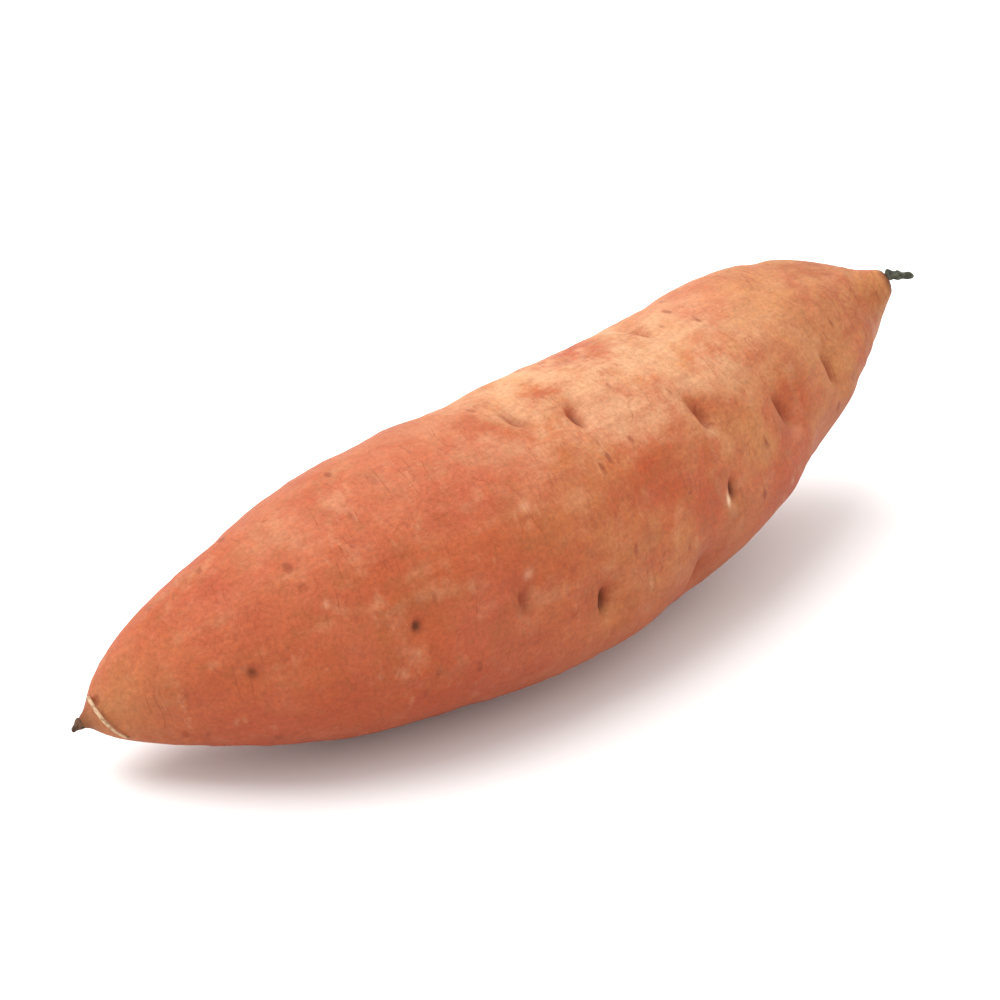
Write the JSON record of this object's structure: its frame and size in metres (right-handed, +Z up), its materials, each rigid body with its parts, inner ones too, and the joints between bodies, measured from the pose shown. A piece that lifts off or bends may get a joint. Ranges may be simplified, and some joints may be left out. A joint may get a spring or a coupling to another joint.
{
  "type": "sweet potato",
  "caption": "Whole long, gently bent sweet potato with pinched eyes, a dry stalk stub at the crown and a thin root tail, lying on a small flat spot.",
  "frame": {"origin": "bottom centre of the whole root's box, on the surface it lies on", "axes": "+X along the root from tail to crown, +Z up, -Y towards the front, where the two rows of large eyes are"},
  "size_m": [0.2186, 0.0716, 0.0605],
  "materials": {
    "skin": "copper-red vegetable skin, dull with a faint sheen"
  },
  "bodies": {
    "root": {"sweet_potato": "skin"}
  },
  "joints": []
}
